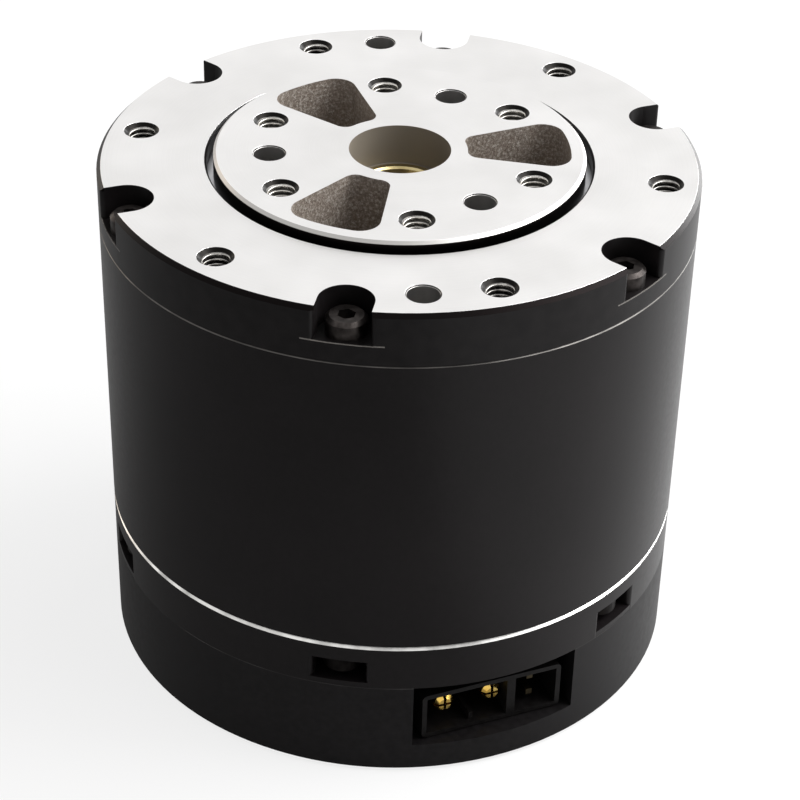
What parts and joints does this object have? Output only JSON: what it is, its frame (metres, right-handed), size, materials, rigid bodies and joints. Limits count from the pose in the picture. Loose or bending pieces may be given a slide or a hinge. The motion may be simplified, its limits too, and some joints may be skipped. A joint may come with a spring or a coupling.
{
  "type": "robot joint actuator",
  "caption": "Round robot joint actuator: outrunner motor, two-stage planetary gearbox, crossed-roller output bearing and driver board in one housing, with a drilled and pinned output disc.",
  "frame": {"origin": "centre of the rear face", "axes": "+Z along the output axis, from the rear cap to the output disc; the connector faces -67.6 degrees from +X"},
  "size_m": [0.0578, 0.0578, 0.0532],
  "materials": {
    "black_anodised": "satin black anodised, with machined faces left bare",
    "front_flange": "bare machined face, black anodised side",
    "output_disc": "bare machined",
    "rear_band": "satin black anodised, bevel left bare",
    "rear_cap": "fine satin black moulding",
    "black_screw": "black oxide",
    "steel": "ground steel",
    "gear_steel": "hobbed steel, lightly oiled",
    "brass": "turned brass",
    "gold": "gold plated",
    "magnet": "nickel plated",
    "stator": "stacked electrical steel, varnished",
    "copper": "enamelled copper",
    "board": "solder mask",
    "component": "moulded packages",
    "connector": "black nylon"
  },
  "bodies": {
    "housing": {"front_flange": "front_flange", "front_flange_screws": "black_screw", "main_housing": "black_anodised", "rear_housing": "rear_band", "rear_housing_screws": "black_screw", "rear_cap": "rear_cap", "rear_cap_screws": "black_screw", "output_bearing_outer_race": "steel", "ring_gear": "gear_steel", "rotor_bearing_outer_rings": "steel", "stator_core": "stator", "stator_coils": "copper", "motor_leads": "copper", "driver_board": "board", "board_screws": "steel", "board_components": "component", "connector_shell": "connector", "connector_power_pins": "gold", "connector_signal_pins": "gold"},
    "output": {"output_flange": "output_disc", "centre_bush": "brass", "output_retaining_ring": "steel", "output_bearing_inner_race": "steel", "stage2_plate": "steel", "stage2_pins": "steel"},
    "output_bearing_cage_body": {"output_bearing_rollers": "steel", "output_bearing_cage": "brass"},
    "stage1_carrier_body": {"stage1_carrier": "gear_steel", "stage1_pins": "steel"},
    "rotor": {"rotor_shaft": "gear_steel", "rotor_bell": "steel", "rotor_magnets": "magnet", "rotor_bearing_inner_rings": "steel", "encoder_magnet_holder": "brass", "encoder_magnet": "magnet"},
    "stage2_planet_a_body": {"stage2_planet_a": "gear_steel"},
    "stage2_planet_b_body": {"stage2_planet_b": "gear_steel"},
    "stage2_planet_c_body": {"stage2_planet_c": "gear_steel"},
    "stage1_planet_a_body": {"stage1_planet_a": "gear_steel"},
    "stage1_planet_b_body": {"stage1_planet_b": "gear_steel"},
    "stage1_planet_c_body": {"stage1_planet_c": "gear_steel"}
  },
  "joints": [
    {"name": "output_spin", "type": "hinge", "parent": "housing", "child": "output", "pos_m": [0, 0, 0.045], "axis": [0, 0, 1], "continuous": true},
    {"name": "output_bearing_cage_spin", "type": "hinge", "parent": "housing", "child": "output_bearing_cage_body", "pos_m": [0, 0, 0.0474], "axis": [0, 0, 1], "continuous": true},
    {"name": "stage1_carrier_spin", "type": "hinge", "parent": "housing", "child": "stage1_carrier_body", "pos_m": [0, 0, 0.0365], "axis": [0, 0, 1], "continuous": true},
    {"name": "rotor_spin", "type": "hinge", "parent": "housing", "child": "rotor", "pos_m": [0, 0, 0.022], "axis": [0, 0, 1], "continuous": true},
    {"name": "stage2_planet_a_spin", "type": "hinge", "parent": "output", "child": "stage2_planet_a_body", "pos_m": [0.00482, 0.01164, 0.0402], "axis": [0, 0, 1], "continuous": true},
    {"name": "stage2_planet_b_spin", "type": "hinge", "parent": "output", "child": "stage2_planet_b_body", "pos_m": [-0.01249, -0.00164, 0.0402], "axis": [0, 0, 1], "continuous": true},
    {"name": "stage2_planet_c_spin", "type": "hinge", "parent": "output", "child": "stage2_planet_c_body", "pos_m": [0.00767, -0.01, 0.0402], "axis": [0, 0, 1], "continuous": true},
    {"name": "stage1_planet_a_spin", "type": "hinge", "parent": "stage1_carrier_body", "child": "stage1_planet_a_body", "pos_m": [0.01249, 0.00164, 0.0337], "axis": [0, 0, 1], "continuous": true},
    {"name": "stage1_planet_b_spin", "type": "hinge", "parent": "stage1_carrier_body", "child": "stage1_planet_b_body", "pos_m": [-0.00767, 0.01, 0.0337], "axis": [0, 0, 1], "continuous": true},
    {"name": "stage1_planet_c_spin", "type": "hinge", "parent": "stage1_carrier_body", "child": "stage1_planet_c_body", "pos_m": [-0.00482, -0.01164, 0.0337], "axis": [0, 0, 1], "continuous": true}
  ],
  "couplings": [
    {"joint": "output_bearing_cage_spin", "follows": "output_spin", "ratio": 0.47413},
    {"joint": "stage1_carrier_spin", "follows": "output_spin", "ratio": 6},
    {"joint": "rotor_spin", "follows": "output_spin", "ratio": 36},
    {"joint": "stage2_planet_a_spin", "follows": "output_spin", "ratio": -2.5},
    {"joint": "stage2_planet_b_spin", "follows": "output_spin", "ratio": -2.5},
    {"joint": "stage2_planet_c_spin", "follows": "output_spin", "ratio": -2.5},
    {"joint": "stage1_planet_a_spin", "follows": "output_spin", "ratio": -15},
    {"joint": "stage1_planet_b_spin", "follows": "output_spin", "ratio": -15},
    {"joint": "stage1_planet_c_spin", "follows": "output_spin", "ratio": -15}
  ]
}
